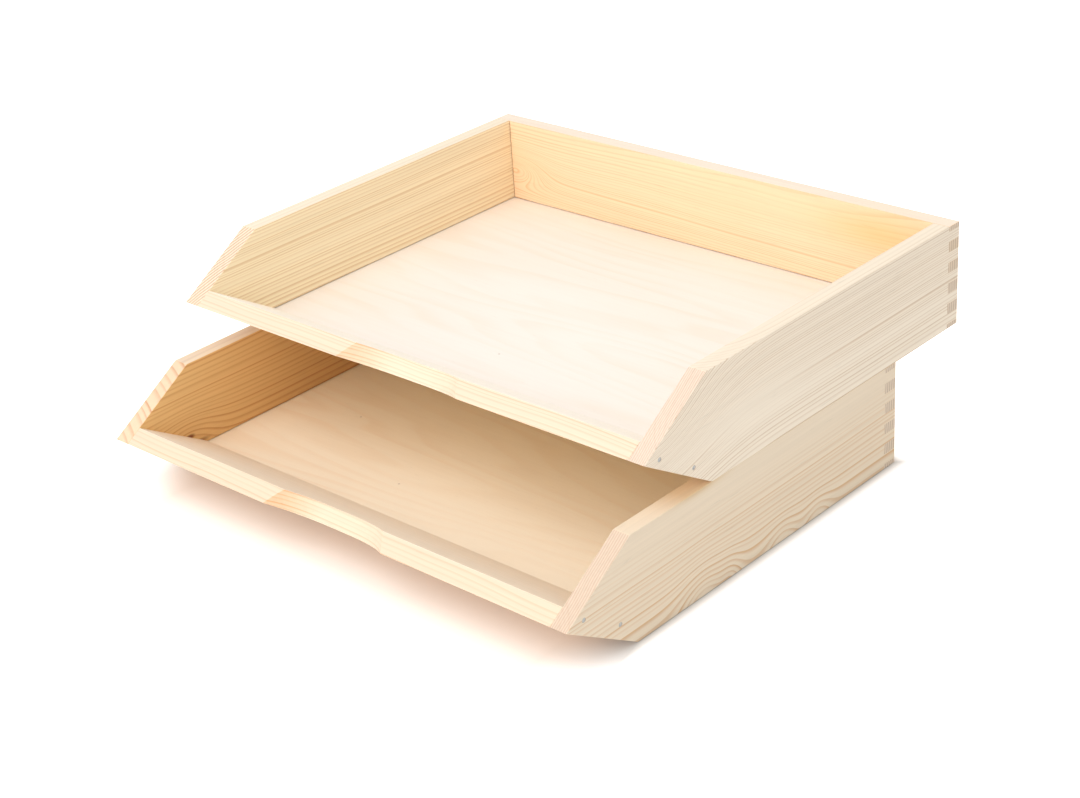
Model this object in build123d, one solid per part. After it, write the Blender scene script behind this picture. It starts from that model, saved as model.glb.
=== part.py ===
from build123d import *
import math
import os

# Two identical pine letter trays in a stack, the upper one set back, in millimetres.
# Origin: middle of the stack's footprint, on the surface it stands on.
# +X is to the user's right, +Y is to the back, +Z is up.
# Each tray is drawn in its own frame: y = 0 at the tip of its nose, z = 0 at its base.

# Overall size of one tray
tray_width = 345.0
tray_depth = 282.0
tray_height = 63.0
upper_setback = 63.0

# Boards
side_thickness = 10.5
back_thickness = 10.5
rail_thickness = 10.5

# Nose: the front slope falls to a tip at half height, the underside runs back from it to the base
tip_height = 32.0
slope_top_run = 49.5
underside_run = 52.0

# Box joints at the two back corners
finger_width = 6.35
end_finger_least = 1.5

# Plywood bottom panel and the stopped groove that holds it
panel_thickness = 4.0
panel_underside_height = 5.0
groove_depth = 4.0
groove_slack = 0.4

# Finger scoop in the top edge of the rail, measured on the rail's outer face
scoop_floor_length = 17.0
scoop_end_radius = 56.5
scoop_depth = 13.5

# Steel brads through each side into the end of the rail
brad_shank_diameter = 1.6
brad_head_diameter = 2.6
brad_head_thickness = 0.8
brad_length = 28.0
brad_point_length = 2.5
brad_fit = 0.05
front_brad_from_tip = 10.5
rear_brad_from_tip = 41.5
lower_brad_from_face = 7.8
upper_brad_from_face = 4.8

# Locating dowels, glued into the lower tray's top edges
dowel_diameter = 5.0
dowel_glued_length = 10.0
dowel_proud_length = 4.0
dowel_end_chamfer = 0.8
dowel_end_margin = 30.0
dowel_glue_line = 0.05
socket_clearance = 0.3
socket_end_clearance = 0.4

# Worked out from the sizes above
half_width = tray_width / 2
inner_half_width = half_width - side_thickness
stack_depth = tray_depth + upper_setback
groove_height = panel_thickness + groove_slack
panel_edge_slack = groove_slack
underside_length = math.hypot(underside_run, tip_height)
slope_rise = tray_height - tip_height

# Unit vectors in the Y-Z plane: along the rail, down from the tip, and square to its outer face, inwards
along_y = underside_run / underside_length
along_z = -tip_height / underside_length
inward_y = -along_z
inward_z = along_y


def rail_point(from_tip, from_face):
    """Y and Z of a point given along the rail from its tip and inwards from its outer face."""
    y = from_tip * along_y + from_face * inward_y
    z = tip_height + from_tip * along_z + from_face * inward_z
    return y, z


def rail_inner_y(z):
    """Y of the rail's inner face at a height."""
    return (rail_thickness - (z - tip_height) * inward_z) / inward_y


def profile_solid(points, x_start, width):
    """A prism along X: points are its Y-Z outline."""
    outline = Wire(Polyline(*[(x_start, y, z) for y, z in points], close=True).edges())
    return extrude(Face(outline), width, dir=(1, 0, 0))


def block(x_range, y_range, z_range):
    """A box between two corners."""
    size = [high - low for low, high in (x_range, y_range, z_range)]
    centre = [(high + low) / 2 for low, high in (x_range, y_range, z_range)]
    return Pos(*centre) * Box(*size)


def finger_heights(of_side):
    """Height ranges of the box-joint fingers at the back corner, from the base up.

    As many full fingers as fit are centred in the height, the first and the last of them the side's,
    so that the back board has a thinner one at each end.
    """
    full_count = int((tray_height - 2 * end_finger_least) / finger_width)
    full_count -= 1 - full_count % 2
    first = (tray_height - full_count * finger_width) / 2
    marks = [first + step * finger_width for step in range(full_count + 1)]
    if of_side:
        return [(marks[step], marks[step + 1]) for step in range(0, full_count, 2)]
    between = [(marks[step], marks[step + 1]) for step in range(1, full_count, 2)]
    return [(0.0, marks[0])] + between + [(marks[-1], tray_height)]


def groove_block(x_range, y_range):
    """The space of the panel's groove over a plan area."""
    return block(x_range, y_range, (panel_underside_height, panel_underside_height + groove_height))


# Plan area of the panel's groove
groove_half_width = inner_half_width + groove_depth
groove_back = tray_depth - back_thickness + groove_depth
groove_front = rail_inner_y(panel_underside_height + groove_height) - groove_depth


def brad_places(from_face):
    """Y and Z of the front and the rear brad."""
    return {
        "front": rail_point(front_brad_from_tip, from_face),
        "rear": rail_point(rear_brad_from_tip, from_face),
    }


def brad_solid(place, hand, fit):
    """One brad, or with a fit its hole: head flush with the side's outer face, point towards the middle."""
    y, z = place
    head_radius = brad_head_diameter / 2 + fit
    shank_radius = brad_shank_diameter / 2 + fit
    length = brad_length + fit
    outline = Polyline(
        (0, 0),
        (head_radius, 0),
        (head_radius, -brad_head_thickness),
        (shank_radius, -brad_head_thickness),
        (shank_radius, -(length - brad_point_length)),
        (0, -length),
        close=True,
    )
    brad = revolve(make_face(Plane.XZ * outline), Axis.Z)
    return Pos(hand * half_width, y, z) * Rot(0, hand * 90, 0) * brad


def dowel_places():
    """X and Y of the four dowels in the lower tray's frame, by name.

    They stand in from both ends of the stretch where the two trays' side boards meet.
    """
    x = half_width - side_thickness / 2
    front_y = upper_setback + underside_run + dowel_end_margin
    back_y = tray_depth - dowel_end_margin
    return {
        "front_left": (-x, front_y),
        "front_right": (x, front_y),
        "back_left": (-x, back_y),
        "back_right": (x, back_y),
    }


def side_board(hand, brad_from_face):
    """A side: sloped nose, slots for the back's fingers, stopped groove and two brad holes."""
    outline = [
        (0, tip_height),
        (slope_top_run, tray_height),
        (tray_depth, tray_height),
        (tray_depth, 0),
        (underside_run, 0),
    ]
    x_range = sorted((hand * inner_half_width, hand * half_width))
    board = profile_solid(outline, x_range[0], side_thickness)
    for z_range in finger_heights(of_side=False):
        board -= block(x_range, (tray_depth - back_thickness, tray_depth), z_range)
    groove_x = sorted((hand * inner_half_width, hand * groove_half_width))
    board -= groove_block(groove_x, (groove_front, groove_back))
    for place in brad_places(brad_from_face).values():
        board -= brad_solid(place, hand, brad_fit)
    return board


def back_board():
    """The back: fingers at both ends and a stopped groove between the sides."""
    y_range = (tray_depth - back_thickness, tray_depth)
    board = block((-half_width, half_width), y_range, (0, tray_height))
    for hand in (-1, 1):
        end_x = sorted((hand * inner_half_width, hand * half_width))
        for z_range in finger_heights(of_side=True):
            board -= block(end_x, y_range, z_range)
    groove_x = (-inner_half_width, inner_half_width)
    return board - groove_block(groove_x, (tray_depth - back_thickness, groove_back))


def scoop_cutter():
    """The scoop: a short flat floor with a long round at each end, cut square through the rail."""
    margin = rail_thickness
    half_floor = scoop_floor_length / 2
    half_mouth = half_floor + scoop_end_radius
    round_start = scoop_depth - scoop_end_radius
    corner = scoop_end_radius * (1 - math.sqrt(0.5))
    top = min(round_start, 0) - margin
    outline = [
        Line((half_floor, scoop_depth), (-half_floor, scoop_depth)),
        ThreePointArc(
            (-half_floor, scoop_depth),
            (-half_mouth + corner, scoop_depth - corner),
            (-half_mouth, round_start),
        ),
        Line((-half_mouth, round_start), (-half_mouth, top)),
        Line((-half_mouth, top), (half_mouth, top)),
        Line((half_mouth, top), (half_mouth, round_start)),
        ThreePointArc(
            (half_mouth, round_start),
            (half_mouth - corner, scoop_depth - corner),
            (half_floor, scoop_depth),
        ),
    ]
    # The sketch's own X is the stack's X, and its Y runs down the rail from the tip
    tip = (0, 0, tip_height)
    rail_face = Plane(origin=tip, x_dir=(1, 0, 0), z_dir=(0, inward_y, inward_z))
    sketch = rail_face.offset(-margin) * make_face(outline)
    return extrude(sketch, rail_thickness + 2 * margin, dir=(0, inward_y, inward_z))


def front_rail(brad_from_face):
    """The rail: bevelled flush with both noses, foot cut flush with the base, scooped, grooved."""
    bevel_share = rail_thickness / (slope_top_run * inward_y + slope_rise * inward_z)
    outline = [
        (0, tip_height),
        (slope_top_run * bevel_share, tip_height + slope_rise * bevel_share),
        (rail_inner_y(0), 0),
        (underside_run, 0),
    ]
    rail = profile_solid(outline, -inner_half_width, 2 * inner_half_width)
    rail -= scoop_cutter()
    groove_x = (-inner_half_width, inner_half_width)
    rail -= groove_block(groove_x, (groove_front, rail_inner_y(0)))
    for hand in (-1, 1):
        for place in brad_places(brad_from_face).values():
            rail -= brad_solid(place, hand, brad_fit)
    return rail


def bottom_panel():
    """The plywood panel, resting on the floor of its groove with a little slack at every edge."""
    panel_half = groove_half_width - panel_edge_slack
    y_range = (groove_front + panel_edge_slack, groove_back - panel_edge_slack)
    z_range = (panel_underside_height, panel_underside_height + panel_thickness)
    return block((-panel_half, panel_half), y_range, z_range)


def dowel_rod(radius, length_down, length_up):
    """A rod along Z, so far down and so far up from z = 0."""
    rod = Cylinder(radius, length_down + length_up, align=(Align.CENTER, Align.CENTER, Align.MIN))
    return Pos(0, 0, -length_down) * rod


def dowel_solid():
    """A dowel with a chamfered top end, z = 0 at the joint between the trays."""
    dowel = dowel_rod(dowel_diameter / 2, dowel_glued_length, dowel_proud_length)
    top_edge = dowel.edges().sort_by(Axis.Z)[-1]
    return chamfer(top_edge, dowel_end_chamfer)


def tray_pieces(brad_from_face):
    """All pieces of one tray, in the tray's own frame, by name."""
    pieces = {
        "left_side": side_board(-1, brad_from_face),
        "right_side": side_board(1, brad_from_face),
        "back_board": back_board(),
        "front_rail": front_rail(brad_from_face),
        "bottom_panel": bottom_panel(),
    }
    for side, hand in (("left", -1), ("right", 1)):
        for end, place in brad_places(brad_from_face).items():
            pieces[f"{side}_{end}_brad"] = brad_solid(place, hand, 0)
    return pieces


def build_stack():
    """Every node of the stack, in place."""
    lower = tray_pieces(lower_brad_from_face)
    upper = tray_pieces(upper_brad_from_face)
    dowels = {}
    for name, (x, y) in dowel_places().items():
        board = name.split("_")[1] + "_side"
        hole = dowel_rod(dowel_diameter / 2 + dowel_glue_line, dowel_glued_length, 0)
        lower[board] -= Pos(x, y, tray_height) * hole
        socket = dowel_rod(
            dowel_diameter / 2 + socket_clearance, 0, dowel_proud_length + socket_end_clearance
        )
        upper[board] -= Pos(x, y - upper_setback, 0) * socket
        dowels[f"{name}_dowel"] = Pos(x, y, tray_height) * dowel_solid()
    lower_place = Pos(0, -stack_depth / 2, 0)
    upper_place = Pos(0, upper_setback - stack_depth / 2, tray_height)
    nodes = {f"lower_{name}": lower_place * piece for name, piece in lower.items()}
    nodes.update({f"upper_{name}": upper_place * piece for name, piece in upper.items()})
    nodes.update({name: lower_place * piece for name, piece in dowels.items()})
    return nodes


os.makedirs("parts", exist_ok=True)
for node, solid in build_stack().items():
    export_step(solid, f"parts/{node}.step")
    print(node, round(solid.volume, 1))
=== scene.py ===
"""Wooden letter tray stack: boards, finishes and studio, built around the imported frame.

Everything is in metres in the part's own frame: x to the user's right, y to the back, z up.
"""

import logging
import math
import random
from contextlib import contextmanager
from dataclasses import dataclass, field
from enum import Enum
from typing import Callable, ClassVar, Iterator, Sequence

import bmesh
import bpy
from mathutils import Matrix, Vector


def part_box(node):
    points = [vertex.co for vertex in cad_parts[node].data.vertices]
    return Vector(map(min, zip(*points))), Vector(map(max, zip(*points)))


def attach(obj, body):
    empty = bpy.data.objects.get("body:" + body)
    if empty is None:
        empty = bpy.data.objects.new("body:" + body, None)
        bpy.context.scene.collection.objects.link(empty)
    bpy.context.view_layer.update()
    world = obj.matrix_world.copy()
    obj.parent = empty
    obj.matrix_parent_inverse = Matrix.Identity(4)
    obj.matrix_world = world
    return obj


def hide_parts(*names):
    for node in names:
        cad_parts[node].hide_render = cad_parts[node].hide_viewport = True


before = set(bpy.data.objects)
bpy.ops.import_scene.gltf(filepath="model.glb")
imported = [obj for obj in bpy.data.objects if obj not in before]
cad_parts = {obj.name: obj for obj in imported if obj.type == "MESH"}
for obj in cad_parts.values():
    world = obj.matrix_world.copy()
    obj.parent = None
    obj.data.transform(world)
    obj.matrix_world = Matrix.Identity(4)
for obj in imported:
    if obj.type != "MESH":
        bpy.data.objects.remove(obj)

MM = 0.001
LOG = logging.getLogger("letter_trays")

Triple = tuple[float, float, float]
Colour = tuple[float, float, float]
Range = tuple[float, float]
Box = tuple[Vector, Vector]
Socket = bpy.types.NodeSocket
Outputs = Sequence[Socket]
Signal = Socket | float
Paint = Socket | Colour

WHITE: Colour = (1.0, 1.0, 1.0)


def tone(red: int, green: int, blue: int) -> Colour:
    """Turns a colour as a screen shows it, 0 to 255, into the linear values that a shader takes.

    Args:
        red: red as the screen shows it.
        green: green as the screen shows it.
        blue: blue as the screen shows it.

    Returns:
        The linear red, green and blue.
    """
    def linear(value: int) -> float:
        """One channel, linear."""
        share = value / 255
        return share / 12.92 if share <= 0.04045 else ((share + 0.055) / 1.055) ** 2.4

    return linear(red), linear(green), linear(blue)


class Grain(Enum):
    """Which way a board's fibres run."""

    ALONG_WIDTH = "x"
    ALONG_DEPTH = "y"


class Hand(Enum):
    """Which side of a tray a piece belongs to."""

    LEFT = -1
    RIGHT = 1

    @property
    def word(self) -> str:
        """The hand as node names say it."""
        return self.name.lower()


# Bench tools: the operators that shape every board


def pick(*pieces: bpy.types.Object) -> None:
    """Selects these pieces and nothing else, the first of them active.

    Args:
        pieces: the pieces to select.
    """
    bpy.ops.object.select_all(action="DESELECT")
    for piece in pieces:
        piece.select_set(True)
    bpy.context.view_layer.objects.active = pieces[0]


@contextmanager
def editing(piece: bpy.types.Object) -> Iterator[None]:
    """Opens one piece alone in edit mode.

    Args:
        piece: the mesh object to edit.

    Yields:
        Nothing: the piece is open while the block runs.
    """
    pick(piece)
    bpy.ops.object.mode_set(mode="EDIT")
    try:
        yield
    finally:
        bpy.ops.object.mode_set(mode="OBJECT")


def settle(piece: bpy.types.Object) -> None:
    """Moves a piece's place, turn and scale into its mesh."""
    pick(piece)
    bpy.ops.object.transform_apply(location=True, rotation=True, scale=True)


def apply_modifier(piece: bpy.types.Object, name: str) -> None:
    """Applies one modifier to its piece."""
    pick(piece)
    bpy.ops.object.modifier_apply(modifier=name)


def dress(piece: bpy.types.Object, finish: bpy.types.Material) -> None:
    """Gives a piece one finish and no other."""
    piece.data.materials.clear()
    piece.data.materials.append(finish)


def blank(name: str, low: Vector, high: Vector) -> bpy.types.Object:
    """Saws a squared blank between two corners, the start of every board.

    Args:
        name: the piece's name.
        low: lowest corner.
        high: highest corner.

    Returns:
        The blank, with its place in its mesh.
    """
    bpy.ops.object.select_all(action="DESELECT")
    bpy.ops.mesh.primitive_cube_add(size=1, location=(low + high) / 2)
    piece = bpy.context.active_object
    piece.name = name
    piece.data.name = name
    piece.scale = high - low
    settle(piece)
    return piece


def saw(piece: bpy.types.Object, point: Vector, outwards: Vector) -> None:
    """Cuts off what lies beyond a plane and closes the cut.

    Args:
        piece: the board.
        point: a point of the plane.
        outwards: the plane's normal, on the side that falls away.
    """
    with editing(piece):
        bpy.ops.mesh.select_all(action="SELECT")
        bpy.ops.mesh.bisect(plane_co=point, plane_no=outwards, use_fill=True, clear_outer=True)


def joined(pieces: list[bpy.types.Object]) -> bpy.types.Object:
    """Joins several pieces into the first of them.

    Args:
        pieces: the pieces, one or more.

    Returns:
        The one piece that is left.
    """
    if len(pieces) > 1:
        pick(*pieces)
        bpy.ops.object.join()
    return pieces[0]


def carve(piece: bpy.types.Object, *cutters: bpy.types.Object) -> None:
    """Cuts cutters, which don't touch each other, out of a board and throws them away.

    Args:
        piece: the board.
        cutters: the solids to cut away.
    """
    cutter = joined(list(cutters))
    cut = piece.modifiers.new("cut", "BOOLEAN")
    cut.operation = "DIFFERENCE"
    cut.solver = "EXACT"
    cut.object = cutter
    apply_modifier(piece, cut.name)
    bpy.data.objects.remove(cutter, do_unlink=True)


@dataclass(frozen=True)
class Arris:
    """How far the edges of a board are eased with fine paper."""

    width: float = 0.30 * MM
    joint_share: float = 0.35
    least_turn: float = math.radians(20)
    segments: int = 2
    slot: int = 1

    def ease(self, piece: bpy.types.Object, is_joint: Callable[[Vector], bool]) -> None:
        """Rounds every sharp edge, less where the edge lies in a joint, and marks the rounds.

        Args:
            piece: the board.
            is_joint: tells whether an edge's middle lies in a joint.
        """
        shape = bmesh.new()
        shape.from_mesh(piece.data)
        weights = shape.edges.layers.float.new("bevel_weight_edge")
        for edge in shape.edges:
            if edge.calc_face_angle(0.0) > self.least_turn:
                middle = (edge.verts[0].co + edge.verts[1].co) / 2
                edge[weights] = self.joint_share if is_joint(middle) else 1.0
        shape.to_mesh(piece.data)
        shape.free()
        for _ in range(self.slot + 1):
            piece.data.materials.append(None)
        ease = piece.modifiers.new("ease", "BEVEL")
        ease.limit_method = "WEIGHT"
        ease.width = self.width
        ease.segments = self.segments
        ease.material = self.slot
        apply_modifier(piece, ease.name)
        marks = piece.data.attributes.new("arris", "FLOAT", "FACE")
        for face in piece.data.polygons:
            marks.data[face.index].value = float(face.material_index == self.slot)
            face.material_index = 0
        piece.data.materials.clear()


# Finishes: one short class for each kind of surface


class Graph:
    """A node tree, with short calls for the nodes that the finishes share."""

    MIX_SOCKETS: ClassVar[tuple[int, int, int]] = (0, 6, 7)
    MIX_RESULT: ClassVar[int] = 2

    def __init__(self, owner: bpy.types.Material | bpy.types.World) -> None:
        """Empties the owner's tree.

        Args:
            owner: the material or world that the tree belongs to.
        """
        owner.use_nodes = True
        self.owner = owner
        self.tree = owner.node_tree
        self.tree.nodes.clear()

    def node(self, kind: str, inputs: dict | None = None, **settings: object) -> bpy.types.Node:
        """Adds one node.

        Args:
            kind: the node's type, without its leading words.
            inputs: values or sockets, by input name or number.
            settings: the node's own settings.

        Returns:
            The new node.
        """
        made = self.tree.nodes.new("ShaderNode" + kind)
        for name, value in settings.items():
            setattr(made, name, value)
        for name, value in (inputs or {}).items():
            self.plug(made.inputs[name], value)
        return made

    def plug(self, socket: Socket, value: Signal | Paint) -> None:
        """Links a socket to another, or sets its value.

        Args:
            socket: the input.
            value: another node's output, or a plain number, vector or colour.
        """
        if isinstance(value, Socket):
            self.tree.links.new(value, socket)
        elif socket.type == "RGBA" and len(value) == 3:
            socket.default_value = (*value, 1.0)
        else:
            socket.default_value = value

    def math(self, operation: str, first: Signal, second: Signal = 0.0, clamp: bool = False) -> Socket:
        """The result of one sum on two numbers."""
        return self.node("Math", {0: first, 1: second}, operation=operation, use_clamp=clamp).outputs[0]

    def times(self, first: Signal, second: Signal) -> Socket:
        """Two numbers multiplied."""
        return self.math("MULTIPLY", first, second)

    def plus(self, first: Signal, second: Signal) -> Socket:
        """Two numbers added."""
        return self.math("ADD", first, second)

    def minus(self, first: Signal, second: Signal) -> Socket:
        """The second number taken from the first."""
        return self.math("SUBTRACT", first, second)

    def step(self, value: Signal, low: float, high: float, to: Range = (0.0, 1.0)) -> Socket:
        """A smooth step of a value from low to high."""
        inputs = {"Value": value, "From Min": low, "From Max": high, "To Min": to[0], "To Max": to[1]}
        return self.node("MapRange", inputs, interpolation_type="SMOOTHSTEP").outputs[0]

    def mix(self, share: Signal, first: Paint, second: Paint, blend: str = "MIX") -> Socket:
        """Mixes two colours.

        Args:
            share: how much of the second.
            first: the colour where the share is 0.
            second: the colour where the share is 1.
            blend: the way to mix them, in Blender's word for it.

        Returns:
            The mixed colour.
        """
        made = self.node("Mix", data_type="RGBA", blend_type=blend)
        for number, value in zip(self.MIX_SOCKETS, (share, first, second)):
            self.plug(made.inputs[number], value)
        return made.outputs[self.MIX_RESULT]

    def tinted(self, share: Signal, colour: Paint, tint: Paint) -> Socket:
        """A colour multiplied by a tint, as far as the share says."""
        return self.mix(share, colour, tint, "MULTIPLY")

    def shaded(self, colour: Paint, level: Signal) -> Socket:
        """A colour multiplied by a plain level."""
        return self.tinted(1.0, colour, self.node("CombineXYZ", {0: level, 1: level, 2: level}).outputs[0])

    def scaled(self, vector: Socket, scale: Triple) -> Socket:
        """A vector with each of its parts multiplied."""
        return self.node("VectorMath", {0: vector, 1: scale}, operation="MULTIPLY").outputs[0]

    def noise(self, vector: Socket, scale: float, detail: float, seed: float, rough: float = 0.5) -> Outputs:
        """Soft noise: its first output is one number from 0 to 1, its second three of them."""
        inputs = {"Vector": vector, "W": seed, "Scale": scale, "Detail": detail, "Roughness": rough}
        return self.node("TexNoise", inputs, noise_dimensions="4D").outputs

    def drawn(self, vector: Socket, scale: Triple, detail: float, seed: float, rough: float = 0.5) -> Socket:
        """Soft noise from 0 to 1 that is drawn out, with a scale of its own along each axis."""
        return self.noise(self.scaled(vector, scale), 1.0, detail, seed, rough)[0]

    def ridge(self, phase: Signal, rise: Range, drop: Range) -> Socket:
        """A line that comes up over one range of a phase and goes down over another."""
        return self.times(self.step(phase, *rise), self.step(phase, *drop, (1.0, 0.0)))

    def parts(self, vector: Socket) -> Outputs:
        """A vector's three numbers."""
        return self.node("SeparateXYZ", {0: vector}).outputs

    def relief(self, height: Signal, strength: float, depth: float) -> Socket:
        """The normal of a surface with fine relief."""
        return self.node("Bump", {"Height": height, "Strength": strength, "Distance": depth}).outputs[0]

    def finish(self, **inputs: Signal | Paint) -> bpy.types.Material:
        """Ends the tree in a Principled shader.

        Args:
            inputs: the shader's inputs, with underscores for blanks.

        Returns:
            The material.
        """
        named = {name.replace("_", " "): value for name, value in inputs.items()}
        shader = self.node("BsdfPrincipled", named)
        self.node("OutputMaterial", {"Surface": shader.outputs[0]})
        return self.owner


class Surface(Graph):
    """The tree of a piece's finish: place is the shaded point in the part's frame, normal its normal."""

    def __init__(self, name: str, centre: Vector | None = None) -> None:
        """Starts a new material.

        Args:
            name: the material's name.
            centre: the middle of the piece.
        """
        super().__init__(bpy.data.materials.new(name))
        self.centre = centre
        coordinates = self.node("TexCoord").outputs
        self.place, self.normal = coordinates["Object"], coordinates["Normal"]


@dataclass(frozen=True)
class Patch:
    """A soft oval on a board's face, placed from the board's middle along its fibres and upwards."""

    along: float
    across: float
    length: float
    breadth: float
    strength: float

    def share(self, graph: Surface, grain: Grain) -> Socket:
        """How strongly the patch acts at a point, falling off softly from its middle.

        Args:
            graph: the tree.
            grain: which way the board's fibres run.

        Returns:
            The patch's strength there.
        """
        x, y, z = graph.parts(graph.place)
        run, start = (y, graph.centre.y) if grain is Grain.ALONG_DEPTH else (x, graph.centre.x)
        squares = []
        for part, middle, reach in (
            (run, start + self.along, self.length),
            (z, graph.centre.z + self.across, self.breadth),
        ):
            share = graph.math("DIVIDE", graph.minus(part, middle), reach)
            squares.append(graph.math("POWER", share, 2))
        fall = graph.math("EXPONENT", graph.times(graph.plus(*squares), -1.0))
        return graph.times(fall, self.strength)


@dataclass(frozen=True)
class Pine:
    """Bare sanded pine sawn from one place of a log.

    The growth rings are shells round the log's pith, so that a board's faces, edges and end grain
    show one and the same pattern.

    Attributes:
        pith_across, pith_through: where the pith lies from the board's middle, upwards and through it.
        early, late: the pale wood of spring, and the dark wood of summer that draws the lines.
        blush: the wood's second pale tone, in clouds.
        ring, late_share: from one line to the next, and how much of that is dark.
        lean_across, lean_through: how far the log leans against the board.
        waver: how unevenly the rings run, over what waver_length, and how finely across the log.
        right_face_painted_shade, right_face_painted_shade_lines: painted shade that tints the faces that look
        to the right, and how strongly ring lines are drawn darker there as part of it.
        inner_face_painted_light, seam: a paler tone painted on a rail's inner face as painted light, and
            where along x a front face has a dark seam.
        lee, right_face_painted_shade_lines: a tint of the faces that look to the right, and the strength of
            lines there.
        lining, seam: the tone of a rail's inner face, and where along x a front face has a dark seam.
        end_grain, end_late: the tone of cuts across the fibres, and of their lines.
        top_painted_highlight: a paler tone painted on the faces that look up, as painted highlight.
        swells, calms, knots: patches that bend the lines, that have none, and that are dark and hard.
        painted_shade_patch: a patch of painted shade, darker on the faces that look up, to the right or to
            the front, by painted_shade_patch_tone.
        fibres, bands, clouds, ducts: how fine these are, along the log and twice across it.
    """

    FACING_FRONT: ClassVar[Range] = (0.28, 0.52)
    FACING_REAR: ClassVar[Range] = (0.3, 0.5)
    NOT_UPRIGHT: ClassVar[Range] = (0.6, 0.8)
    UPRIGHT: ClassVar[Range] = (0.90, 0.97)
    PAINTED_SHADE_FACING: ClassVar[Range] = (0.02, 0.62)
    END_ON: ClassVar[Range] = (0.80, 0.98)
    UPWARDS: ClassVar[Range] = (0.93, 0.99)
    FIBRE_RANGE: ClassVar[Range] = (0.2, 0.8)
    DUCT_RANGE: ClassVar[Range] = (0.74, 0.82)
    BAND_RANGE: ClassVar[Range] = (0.3, 0.75)
    KNOT_RANGE: ClassVar[Range] = (0.30, 0.9)
    RING_END: ClassVar[float] = 0.92
    SWAY: ClassVar[float] = 6.0
    PACE_SCALE: ClassVar[float] = 0.31
    PACE_REACH: ClassVar[float] = 1.6
    DRIFT_SCALE: ClassVar[float] = 40.0
    SEAM_SCALE: ClassVar[float] = 260.0
    SEAM_RAGGED: ClassVar[float] = 0.9 * MM
    SEAM_RANGE: ClassVar[Range] = (-0.1 * MM, 0.5 * MM)
    KNOT: ClassVar[Colour] = tone(122, 58, 30)
    SEAM: ClassVar[Colour] = tone(130, 92, 58)
    PALER: ClassVar[Colour] = (1.06, 1.04, 1.0)

    name: str
    grain: Grain
    pith_across: float
    pith_through: float
    early: Colour = tone(246, 229, 200)
    late: Colour = tone(214, 170, 122)
    ring: float = 2.0 * MM
    late_share: float = 0.45
    contrast: float = 0.6
    lean_across: float = 0.0
    lean_through: float = 0.0
    waver: float = 1.0 * MM
    waver_length: float = 0.16
    waver_across: tuple[float, float] = (14.0, 14.0)
    blush: Colour = tone(244, 214, 180)
    blush_share: float = 0.35
    streaks: float = 0.06
    slant: Colour = tone(238, 214, 187)
    slant_late: Colour = tone(208, 150, 112)
    slant_contrast: float = 0.6
    slant_ring: float = 0.0
    slant_lean: float = 0.10
    right_face_painted_shade: Colour = WHITE
    right_face_painted_shade_lines: float = 0.0
    inner_face_painted_light: Colour | None = None
    end_grain: Colour = tone(226, 208, 187)
    end_late: Colour = tone(192, 171, 149)
    end_ring: float = 1.9 * MM
    end_lean: float = 0.10
    seam: float | None = None
    top_painted_highlight: Colour = tone(249, 236, 217)
    top_painted_highlight_share: float = 0.65
    swells: tuple[Patch, ...] = ()
    calms: tuple[Patch, ...] = ()
    knots: tuple[Patch, ...] = ()
    painted_shade_patch: Patch | None = None
    painted_shade_patch_tone: Colour = (0.84, 0.72, 0.56)
    fibres: Triple = (9.0, 620.0, 620.0)
    bands: Triple = (3.0, 90.0, 90.0)
    clouds: Triple = (7.0, 22.0, 22.0)
    ducts: Triple = (70.0, 1500.0, 1500.0)
    seed: float = 0.0

    def log_place(self, centre: Vector) -> tuple[Vector, Triple]:
        """Where the log's pith lies and how it is turned.

        Args:
            centre: the middle of the board.

        Returns:
            A point of the pith, and the turn that lays x along it.
        """
        if self.grain is Grain.ALONG_DEPTH:
            pith = centre + Vector((self.pith_through, 0, self.pith_across))
            return pith, (self.lean_across, 0.0, math.radians(90) + self.lean_through)
        pith = centre + Vector((0, self.pith_through, self.pith_across))
        return pith, (0.0, self.lean_across, self.lean_through)

    def rings(self, graph: Surface) -> tuple[Socket, Socket]:
        """The distance from the pith in rings, with the log's own unevenness.

        Args:
            graph: the tree.

        Returns:
            The count of rings from the pith, and the point in the log's frame.
        """
        pith, turn = self.log_place(graph.centre)
        inputs = {"Vector": graph.place, "Location": pith, "Rotation": turn}
        log = graph.node("Mapping", inputs, vector_type="TEXTURE").outputs[0]
        _, first, second = graph.parts(log)
        long_scale = graph.scaled(log, (1 / self.waver_length, *self.waver_across))
        sway = graph.noise(long_scale, 1.0, 1.5, self.seed)[1]
        sway_first, sway_second, _ = graph.parts(sway)
        squares = []
        for part, drift in ((first, sway_first), (second, sway_second)):
            shift = graph.times(graph.minus(drift, 0.5), self.SWAY * self.waver)
            squares.append(graph.math("POWER", graph.plus(part, shift), 2))
        radius = graph.math("SQRT", graph.plus(*squares))
        for swell in self.swells:
            radius = graph.plus(radius, swell.share(graph, self.grain))
        count = graph.math("DIVIDE", radius, self.ring)
        inputs = {"W": graph.times(count, self.PACE_SCALE), "Scale": 1.0, "Detail": 1.0}
        pace = graph.node("TexNoise", inputs, noise_dimensions="1D").outputs[0]
        return graph.plus(count, graph.times(pace, self.PACE_REACH)), log

    def late_wood(self, graph: Surface, count: Socket) -> Socket:
        """Where a point lies in the dark late wood of its ring, from 0 to 1.

        Args:
            graph: the tree.
            count: the count of rings from the pith.

        Returns:
            The share of late wood.
        """
        phase = graph.math("FRACT", count)
        whole = {"W": graph.math("FLOOR", count)}
        odd = graph.node("TexWhiteNoise", whole, noise_dimensions="1D").outputs[0]
        line = graph.ridge(phase, (self.RING_END - self.late_share, self.RING_END), (self.RING_END, 1.0))
        late = graph.times(line, graph.step(odd, 0.0, 1.0, (0.4, 1.0)))
        for calm in self.calms:
            still = calm.share(graph, self.grain)
            late = graph.times(late, graph.math("SUBTRACT", 1.0, still, clamp=True))
        return late

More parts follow.
